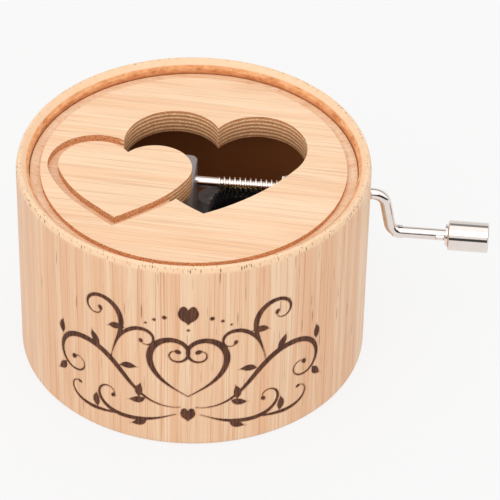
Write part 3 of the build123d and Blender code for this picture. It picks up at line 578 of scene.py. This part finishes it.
def sweptStroke(start, heading, length, bends, thin, thick, peak, ball, samples):
    # heading = start heading + integral of the bend, point = integral of the heading;
    # width swells as sin squared up to its peak and down again, with a ball on the end
    t = np.linspace(0, 1, samples)
    bend = np.interp(t, np.linspace(0, 1, len(bends)), bends)
    ease = np.hanning(23) / np.hanning(23).sum()
    bend = np.convolve(np.pad(bend, 11, mode="edge"), ease, "valid")
    step = length / (samples - 1)
    angle = math.radians(heading) + np.concatenate([[0], np.cumsum((bend[1:] + bend[:-1]) / 2) * step])
    middle = (angle[1:] + angle[:-1]) / 2
    u = start[0] + np.concatenate([[0], np.cumsum(np.cos(middle)) * step])
    v = start[1] + np.concatenate([[0], np.cumsum(np.sin(middle)) * step])
    swell = np.where(t < peak, t / peak, (1 - t) / (1 - peak))
    width = thin + (thick - thin) * np.sin(swell * math.pi / 2) ** 2
    blob = ball * np.sqrt(np.clip(1 - ((1 - t) * length / ball * 2 - 1) ** 2, 0, 1)) if ball else 0
    return np.stack([u, v], axis=1), np.maximum(width, blob) / 2


def distanceToScroll(u, v, values):
    # smallest (distance to a stroke's middle line - half its width) over both mirrored halves
    points = np.stack([np.abs(u).ravel(), v.ravel()], axis=1)
    far = values["far"]
    nearest = np.full(len(points), far)
    strokes = values["strokes"] + [(*leaf, *values["leaf"]) for leaf in values["leaves"]]
    shapes = [sweptStroke(*stroke, values["samples"]) for stroke in strokes]
    shapes += [(np.array([centre], float), np.array([size / 2])) for centre, size in values["dots"]]
    for line, half in shapes:
        for side in (line, line * [-1, 1]):
            near = ((points > side.min(axis=0) - far) & (points < side.max(axis=0) + far)).all(axis=1)
            if not near.any():
                continue
            apart = points[near][:, None, :] - side[None]
            gap = (np.hypot(apart[..., 0], apart[..., 1]) - half[None]).min(axis=1)
            nearest[near] = np.minimum(nearest[near], gap)
    return nearest.reshape(u.shape)


# case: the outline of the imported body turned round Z, fine where it is engraved
caseValues = {
    "footRound": 0.8, "edge": 0.25, "lidSink": 2.25,
    # top of the rim: leans in, turns over a narrow crown, falls to the inside
    "leanHeight": 2.0, "lean": 0.3, "crownDrop": 0.4, "crownInset": 0.75,
    "bevelInset": 1.25, "bevelStart": 0.22, "bevelDrop": 1.5,
    "bevelFoot": (0.65, 0.86),      # out from the inner wall and down from the top
    "slip": 0.15,                   # room round the lid and the base board
    "cavityRadius": 29.5, "chamberRadius": 26.6, "crankHole": 1.87,
    "drillPlace": 32.0, "drillLength": 12.0,
    "fineHalf": 31.0,     # half the width of the engraved stretch, along the wall
    "fineStep": 0.26, "coarseStep": 1.0,
    "engraved": (2.6, 38.6),        # heights between which the wall has fine rows
    "flatAngle": math.radians(35),
}


def threePointArc(a, b, c, steps):
    # circle through three points: its centre solves two equal-distance equations
    a, b, c = (np.array(p, float) for p in (a, b, c))
    sides = 2 * np.array([b - a, c - a])
    centre = np.linalg.solve(sides, [b @ b - a @ a, c @ c - a @ a])
    first, second = (math.atan2(*(p - centre)[::-1]) for p in (a, c))
    t = np.linspace(first, second, steps)
    return centre + np.linalg.norm(a - centre) * np.stack([np.cos(t), np.sin(t)], axis=1)


def rimOutline(outer, top, values):
    # the lean is an arc that starts upright: its radius is the sum of lean squared and rise
    # squared, over twice the lean; the crown is a three-point arc
    start, rise = top - values["leanHeight"], values["leanHeight"] - values["crownDrop"]
    size = (values["lean"] ** 2 + rise**2) / (2 * values["lean"])
    t = np.linspace(0, math.asin(rise / size), 7)
    lean = np.stack([outer - size + size * np.cos(t), start + size * np.sin(t)], axis=1)
    crown = threePointArc(lean[-1], (outer - values["crownInset"], top),
                          (outer - values["bevelInset"], top - values["bevelStart"]), 11)
    return np.concatenate([lean, crown[1:]])


def makeCase(values):
    high = np.array(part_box("case_body")[1]) / mm
    lidLow, lidHigh = (np.array(c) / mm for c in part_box("lid"))
    board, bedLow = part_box("base_board")[1] / mm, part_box("bedplate")[0][2] / mm
    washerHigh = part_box("movement_washers")[1][2] / mm
    outer, top, edge = high[0], lidHigh[2] + values["lidSink"], values["edge"]
    slip = values["slip"]
    rimInner, seat = lidHigh[0] + slip, lidLow[2]
    foot, cavity, chamber = board[0] + slip, values["cavityRadius"], values["chamberRadius"]
    # zones: 0 outside and rim, 1 dark inside
    below, belowZones = roundedProfile([
        (0, washerHigh, 0, 1), (chamber, washerHigh, edge, 1), (chamber, board[2], edge, 1),
        (foot, board[2], edge, 0), (foot, 0, edge, 0), (outer, 0, values["footRound"], 0),
        (outer, top - values["leanHeight"], 0, 0),
    ])
    rim = rimOutline(outer, top, values)
    footOut, footDown = values["bevelFoot"]
    bevelFoot = np.array([[rimInner + footOut, top - footDown]])
    inside, insideZones = roundedProfile([
        (rimInner, top - values["bevelDrop"], 0, 0), (rimInner, seat, edge, 0), (cavity, seat, edge, 1),
        (cavity, bedLow, edge, 1), (0, bedLow, 0, 1),
    ])
    outline = np.concatenate([below, rim[1:], bevelFoot, inside])
    zones = np.concatenate([belowZones, np.zeros(len(rim), int), insideZones])
    # extra rows up the outer wall
    wall = len(below) - 2
    bottom, crown = outline[wall, 1], outline[wall + 1, 1]
    engraved = np.arange(values["engraved"][0], values["engraved"][1], values["fineStep"])
    under, over = np.linspace(bottom, engraved[0], 4)[1:-1], np.linspace(engraved[-1], crown, 5)[1:-1]
    rows = np.concatenate([under, engraved, over])
    extra = np.stack([np.full(len(rows), outer), rows], axis=1)
    outline = np.concatenate([outline[: wall + 1], extra, outline[wall + 1 :]])
    zones = np.concatenate([zones[: wall + 1], np.zeros(len(rows), int), zones[wall + 1 :]])
    # columns: fine across the front, which faces the camera, coarse behind
    front = -math.pi / 2 + cameraValues["turn"]
    half = values["fineHalf"] / outer
    fine = np.arange(-half, half, values["fineStep"] / outer)
    behind = 2 * math.pi - 2 * half
    coarse = np.linspace(half, half + behind, int(behind * outer / values["coarseStep"]))[:-1]
    angle = front + np.concatenate([fine, coarse])
    along = np.concatenate([fine, coarse - 2 * math.pi * (coarse > math.pi)]) * outer
    radius = np.repeat(outline[:, 0:1], len(angle), axis=1)
    height = np.repeat(outline[:, 1:2], len(angle), axis=1)
    onWall = np.zeros(len(outline), bool)
    onWall[wall + 1 : wall + 1 + len(rows)] = True
    edgeGap = np.full(radius.shape, scrollValues["far"])
    across = np.repeat(along[None], onWall.sum(), axis=0)
    edgeGap[onWall] = distanceToScroll(across, height[onWall] - scrollValues["height"], scrollValues)
    # the groove's flank is a smooth step across the stroke's edge
    sunk = np.clip(0.5 - edgeGap / scrollValues["flank"], 0, 1)
    radius = radius - scrollValues["depth"] * sunk * sunk * (3 - 2 * sunk)
    points = np.stack([radius * np.cos(angle), radius * np.sin(angle), height], axis=-1) * mm
    looks = [materials["side"], materials["inside"]]
    return gridObject("caseBody", points, zones=zones[:-1], attributes={"burnEdge": edgeGap}, looks=looks)


def cutHoles(thing, cutters):
    # boolean with rods (centre, axis, radius, length), then the cutters go
    rods = []
    t = np.linspace(0, 2 * math.pi, 49)[:-1]
    ring = np.stack([np.cos(t), np.sin(t), np.zeros(len(t))], axis=-1)
    for centre, axis, radius, length in cutters:
        toward = Vector(axis).to_track_quat("Z", "Y").to_matrix()
        shape = np.array([[0, 1, 1, 0]]).T[:, :, None] * ring[None] * radius
        shape[..., 2] = np.array([-1, -1, 1, 1])[:, None] * length / 2
        shape = shape @ np.array(toward).T + np.array(centre)
        rods.append(gridObject("rod", shape))
    for rod in rods:
        cut = thing.modifiers.new("hole", "BOOLEAN")
        cut.operation, cut.solver, cut.object = "DIFFERENCE", "EXACT", rod
    bpy.context.view_layer.update()
    done = bpy.data.meshes.new_from_object(thing.evaluated_get(bpy.context.evaluated_depsgraph_get()))
    thing.modifiers.clear()
    old, thing.data = thing.data, done
    bpy.data.meshes.remove(old)
    for rod in rods:
        bpy.data.objects.remove(rod)


def weighted(thing, angle):
    # smooth shading that keeps flats flat
    thing.data.set_sharp_from_angle(angle=angle)
    tidy = thing.modifiers.new("flats", "WEIGHTED_NORMAL")
    tidy.keep_sharp = True


jointPlaces = {joint["name"]: joint["pos_m"] for joint in frame["joints"]}
crankAxis, knobAxis = jointPlaces["crank_turn"], jointPlaces["knob_spin"]

case = makeCase(caseValues)
drillCentre = (caseValues["drillPlace"] * mm, crankAxis[1], crankAxis[2])
cutHoles(case, [(drillCentre, (1, 0, 0), caseValues["crankHole"] * mm, caseValues["drillLength"] * mm)])
weighted(case, caseValues["flatAngle"])
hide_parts("case_body")
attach(case, "case")
print("case:", len(case.data.polygons), "faces")


# crank: rings along a bent line; the worm, ears, groove and riveted end are in the rings' radii
crankValues = {
    "wire": 1.17, "bend": 2.5, "throw": 9.05, "columns": 64,
    "chamfer": 0.33, "hair": 1e-4,  # a hair parts two rows where the radius jumps
    "groove": (-3.45, -2.95, 0.75),
    "worm": (4.5, 16.575, 16.885), "core": 0.95, "lead": 1.05, "wormTurns": 11.8, "rowsPerTurn": 26,
    "ridge": 0.5, "ridgeHalf": 0.31, "ridgeFlank": 0.16,
    "coreReach": 0.311,             # how far the thin core goes on past the end of the helix
    "plainRows": (19.0, 24.0, 30.0, 43.6, 46.2, 51.0, 54.0),
    "bends": (37.565, 39.365),      # where the two straight runs meet the slanted one
    "ears": [(40.965, 0.0), (49.215, 90.0)],   # middle, and the direction they stand out in
    "earLength": 1.8, "earThick": 0.7, "earReach": 0.35, "earSpan": 1.1, "earRows": 23,
    "flange": (0.8, 1.75, 0.25), "flangeWorn": 0.08,
    "flatAngle": math.radians(40),
}


def bentLine(values, height, start, end):
    # two straight runs joined by a slanted one; each corner is an arc of the bend radius
    drop, (first, second) = values["throw"], values["bends"]
    corners = np.array([[start, height], [first, height], [second, height - drop], [end, height - drop]])
    steps = np.diff(corners, axis=0)
    headings = np.arctan2(steps[:, 1], steps[:, 0])
    places, turns = [corners[0][None]], [headings[:1]]
    for i in (1, 2):
        turn = headings[i] - headings[i - 1]
        reach = values["bend"] * math.tan(abs(turn) / 2)
        foot = corners[i] - reach * np.array([math.cos(headings[i - 1]), math.sin(headings[i - 1])])
        angle = headings[i - 1] + np.linspace(0, turn, 19)
        side = math.copysign(1, turn)
        leftOf = np.array([-math.sin(headings[i - 1]), math.cos(headings[i - 1])])
        centre = foot + side * values["bend"] * leftOf
        places.append(centre + side * values["bend"] * np.stack([np.sin(angle), -np.cos(angle)], axis=1))
        turns.append(angle)
    places.append(corners[3][None])
    turns.append(headings[2:])
    return np.concatenate(places), np.concatenate(turns)


def withRows(places, turns, marks):
    # adds rows on the straight runs at the given X, without touching the bends
    for mark in marks:
        spot = np.searchsorted(places[:, 0], mark)
        if not np.any(np.abs(places[:, 0] - mark) < 1e-6):
            before, after = places[spot - 1], places[spot]
            share = (mark - before[0]) / (after[0] - before[0])
            places = np.insert(places, spot, before + share * (after - before), axis=0)
            turns = np.insert(turns, spot, turns[spot])
    return places, turns


def makeCrank(values):
    # ring after ring along the bent line, each square to it; a ring's radius varies round it
    _, y, z = (c / mm for c in crankAxis)
    shaftEnd, high = (corner[0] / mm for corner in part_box("crank_wire"))
    thick, size, rounding = values["flange"]
    low = high - thick
    places, turns = bentLine(values, z, shaftEnd, low)
    grooveLow, grooveHigh, grooveRadius = values["groove"]
    wormStart, helixEnd, coreEnd = values["worm"]
    ridgeHalf, hair = values["ridgeHalf"], values["hair"]
    worm = np.linspace(wormStart, helixEnd + ridgeHalf, int(values["wormTurns"] * values["rowsPerTurn"]))
    marks = [shaftEnd + values["chamfer"], grooveLow - hair, grooveLow, grooveHigh, grooveHigh + hair,
             wormStart - hair, *worm, coreEnd + 2 * hair, *values["plainRows"]]
    for middle, _ in values["ears"]:
        marks += list(middle + np.linspace(-values["earSpan"], values["earSpan"], values["earRows"]))
    places, turns = withRows(places, turns, sorted(marks))
    x = places[:, 0]
    t = np.linspace(0, 2 * math.pi, values["columns"], endpoint=False)
    radius = np.full((len(x), len(t)), values["wire"])
    radius[(x >= grooveLow) & (x <= grooveHigh)] = grooveRadius
    # worm: core plus a ridge where the turn count at this angle is near a whole number
    inWorm = (x >= wormStart) & (x <= helixEnd + values["coreReach"])
    count = (x[:, None] - wormStart) / values["lead"] - t[None] / (2 * math.pi)
    off = values["lead"] * (np.mod(count + 0.5, 1) - 0.5)
    ridge = values["ridge"] * np.clip((ridgeHalf - np.abs(off)) / values["ridgeFlank"], 0, 1)
    reached = count * values["lead"] + wormStart + t[None] / (2 * math.pi) * values["lead"]
    alive = (count > -0.5) & (reached <= helixEnd + ridgeHalf)
    radius[inWorm] = (values["core"] + ridge * alive)[inWorm]
    # ears: two wings that fade out along the wire as a rounded box does
    for middle, standing in values["ears"]:
        along = np.clip(1 - (np.abs(x - middle) / (values["earLength"] / 2)) ** 6, 0, 1) ** 0.5
        sideways = values["wire"] * np.abs(np.sin(t - math.radians(standing)))
        wing = np.clip(1 - (sideways / (values["earThick"] / 2)) ** 4, 0, 1) ** 0.5
        radius += values["earReach"] * along[:, None] * wing[None]
    radius[x <= shaftEnd + 1e-6] = values["wire"] - values["chamfer"]
    # closed end of the shaft, and the riveted flange
    corner = np.linspace(0, math.pi / 2, 6)
    worn = values["flangeWorn"]
    endX = np.concatenate([[low, low + worn], high - rounding + rounding * np.sin(corner), [high]])
    endR = np.concatenate([[size - worn, size], size - rounding + rounding * np.cos(corner), [0]])
    endLine = np.stack([endX, np.full(len(endX), places[-1, 1])], axis=1)
    places = np.concatenate([places[:1], places, endLine])
    turns = np.concatenate([turns[:1], turns, np.zeros(len(endX))])
    radius = np.concatenate([np.zeros((1, len(t))), radius, np.repeat(endR[:, None], len(t), axis=1)])
    across = radius * np.sin(t)
    outward = radius * np.cos(t)
    points = np.stack([
        places[:, 0:1] - outward * np.sin(turns)[:, None],
        y - across,
        places[:, 1:2] + outward * np.cos(turns)[:, None],
    ], axis=-1)
    return gridObject("crankWire", points[:, ::-1] * mm, looks=[materials["nickel"]])


# knob: an outline turned round the wire
knobValues = {
    "chamfer": 0.25, "collar": (2.2, 0.5), "bore": 1.22,
    "recess": (1.95, 1.3), "worn": 0.09, "columns": 96, "flatAngle": math.radians(30),
}


def makeKnob(values):
    low, high = (np.array(c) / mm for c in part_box("knob"))
    _, y, z = (c / mm for c in knobAxis)
    start, end, worn, cut = low[0], high[0], values["worn"], values["chamfer"]
    size = (high[1] - low[1]) / 2
    shoulder, inner = start + values["collar"][1], end - values["recess"][1]
    # outline as (radius, X): out over the collar and the body, back through recess and bore
    outline, _ = roundedProfile([
        (values["bore"], inner, 0, 0), (values["bore"], start, worn, 0),
        (values["collar"][0], start, worn, 0), (values["collar"][0], shoulder, worn, 0),
        (size - cut, shoulder, worn, 0),
        (size, shoulder + cut, worn, 0), (size, end - cut, worn, 0),
        (size - cut, end, worn, 0), (values["recess"][0], end, worn, 0),
        (values["recess"][0], inner, worn, 0), (values["bore"], inner, 0, 0),
    ])
    outline = outline[:-1]
    t = np.linspace(0, 2 * math.pi, values["columns"], endpoint=False)
    points = np.stack([
        np.repeat(outline[:, 1:2], len(t), axis=1),
        y + outline[:, 0:1] * np.cos(t),
        z + outline[:, 0:1] * np.sin(t),
    ], axis=-1)
    return gridObject("crankKnob", points * mm, closeRows=True, looks=[materials["knob"]])


crank = makeCrank(crankValues)
weighted(crank, crankValues["flatAngle"])
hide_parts("crank_wire")
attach(crank, "crank")
knob = makeKnob(knobValues)
weighted(knob, knobValues["flatAngle"])
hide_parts("knob")
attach(knob, "knob")
print("crank and knob:", len(crank.data.polygons), len(knob.data.polygons), "faces")


# imported nodes: each keeps its mesh and takes its material; those with an edge width are welded and given
# a small worn edge by modifiers
edgeValues = {"weld": 0.002, "segments": 2, "angle": math.radians(35)}
cadLooks = {
    # material and width of the worn edge, in millimetres
    "base_board": ("board", 0.2), "lid": ("lid", 0.1), "base_screws": ("brassed", 0.06),
    "movement_screws": ("plated", 0.0), "movement_washers": ("plated", 0.06), "bedplate": ("zinc", 0.2),
    "gear_bracket": ("zinc", 0.12), "gear_bracket_screws": ("plated", 0.0),
    "drum_bracket": ("pressed", 0.08), "drum_bracket_screws": ("plated", 0.0),
    "crank_bushing": ("nylon", 0.05), "comb": ("comb", 0.03),
    "comb_screws": ("plated", 0.0), "comb_weights": ("lead", 0.05), "comb_dampers": ("film", 0.0),
    "drum_shell": ("brass", 0.05), "drum_pins": ("pins", 0.0), "drum_cap_front": ("brass", 0.06),
    "drum_cap_rear": ("brass", 0.06), "drum_axle": ("pins", 0.0), "worm_wheel": ("black", 0.03),
    "shaft_clip": ("pressed", 0.03),
}
for name, (look, bevel) in cadLooks.items():
    thing = nodes[name]
    for slot in range(len(thing.material_slots)):
        thing.material_slots[slot].material = materials[look]
    if bevel:
        weld = thing.modifiers.new("weld", "WELD")
        weld.merge_threshold = edgeValues["weld"] * mm
        worn = thing.modifiers.new("wornEdge", "BEVEL")
        worn.width, worn.segments, worn.limit_method = bevel * mm, edgeValues["segments"], "ANGLE"
        worn.angle_limit, worn.harden_normals = edgeValues["angle"], True
print("packed nodes dressed:", len(cadLooks))


# floor, lamps and world
stageValues = {
    "floorHalf": 3.0,
    "floor": (0.66, 0.655, 0.65, 1), "floorPale": (0.69, 0.685, 0.68, 1), "floorGlow": 0.82,
    "world": 0.92, "lampPower": 3.3, "lampSize": 1.2, "lampPlace": (-0.14, -0.7, 0.8),
    "lampTarget": (0, 0, 0.02),
    # what polished metal sees, by bearing across the crank: 0 front, 90 overhead, 180 back
    "cards": [(-180, 0.85), (-19, 0.85), (-15, 0.07), (38, 0.05), (43, 1.3), (117, 1.3), (120, 0.3),
              (141, 0.3), (145, 0.85), (180, 0.85)],
}


def makeStage(values):
    mesh = bpy.data.meshes.new("floor")
    s = values["floorHalf"]
    mesh.from_pydata([(-s, -s, 0), (s, -s, 0), (s, s, 0), (-s, s, 0)], [], [(0, 1, 2, 3)])
    floor = bpy.data.objects.new("floor", mesh)
    bpy.context.scene.collection.objects.link(floor)
    material, tree = newMaterial("paleFloor")
    path = addNode(tree, "LightPath").outputs
    paper = noise(tree, inMillimetres(tree), 0.02, 3.0)
    shade = mixed(tree, paper, values["floor"], values["floorPale"])
    diffuse = addNode(tree, "BsdfDiffuse", {"Color": shade})
    glow = addNode(tree, "Emission", {"Color": (1, 1, 1, 1), "Strength": 1.0})
    seen = sums(tree, "MAXIMUM", path["Is Camera Ray"], path["Is Glossy Ray"])
    share = sums(tree, "MULTIPLY", seen, values["floorGlow"])
    blend = addNode(tree, "MixShader", {0: share, 1: diffuse.outputs[0], 2: glow.outputs[0]})
    addNode(tree, "OutputMaterial", {0: blend.outputs[0]})
    mesh.materials.append(material)

    world = bpy.data.worlds.new("studio")
    bpy.context.scene.world = world
    world.use_nodes = True
    tree = world.node_tree
    tree.nodes.clear()
    path = addNode(tree, "LightPath").outputs
    # bearing of a ray in the plane across the crank: 0 front, 90 overhead, 180 back
    _, y, z = split(tree, addNode(tree, "TexCoord").outputs["Generated"])
    bearing = sums(tree, "DEGREES", sums(tree, "ARCTAN2", z, sums(tree, "MULTIPLY", y, -1.0)))
    cards = addNode(tree, "ValToRGB", {0: stepped(tree, bearing, -180, 180, 0, 1, False)})
    elements = cards.color_ramp.elements
    while len(elements) > 1:
        elements.remove(elements[-1])
    for i, (degrees, level) in enumerate(values["cards"]):
        place = (degrees + 180) / 360
        spot = elements[0] if i == 0 else elements.new(place)
        if i == 0:
            spot.position = place
        spot.color = (level, level, level, 1)
    shade = mixed(tree, path["Is Glossy Ray"], (values["world"],) * 3 + (1,), cards.outputs[0])
    shade = mixed(tree, path["Is Camera Ray"], shade, (1, 1, 1, 1))
    background = addNode(tree, "Background", {"Color": shade, "Strength": 1.0})
    addNode(tree, "OutputWorld", {0: background.outputs[0]})

    data = bpy.data.lights.new("keyLamp", "AREA")
    data.shape, data.size, data.energy = "DISK", values["lampSize"], values["lampPower"]
    lamp = bpy.data.objects.new("keyLamp", data)
    lamp.location = values["lampPlace"]
    aim = Vector(values["lampTarget"]) - Vector(values["lampPlace"])
    lamp.rotation_euler = aim.to_track_quat("-Z", "Y").to_euler()
    bpy.context.scene.collection.objects.link(lamp)


makeStage(stageValues)
bpy.context.scene.view_settings.view_transform = "Standard"
print("stage ready")
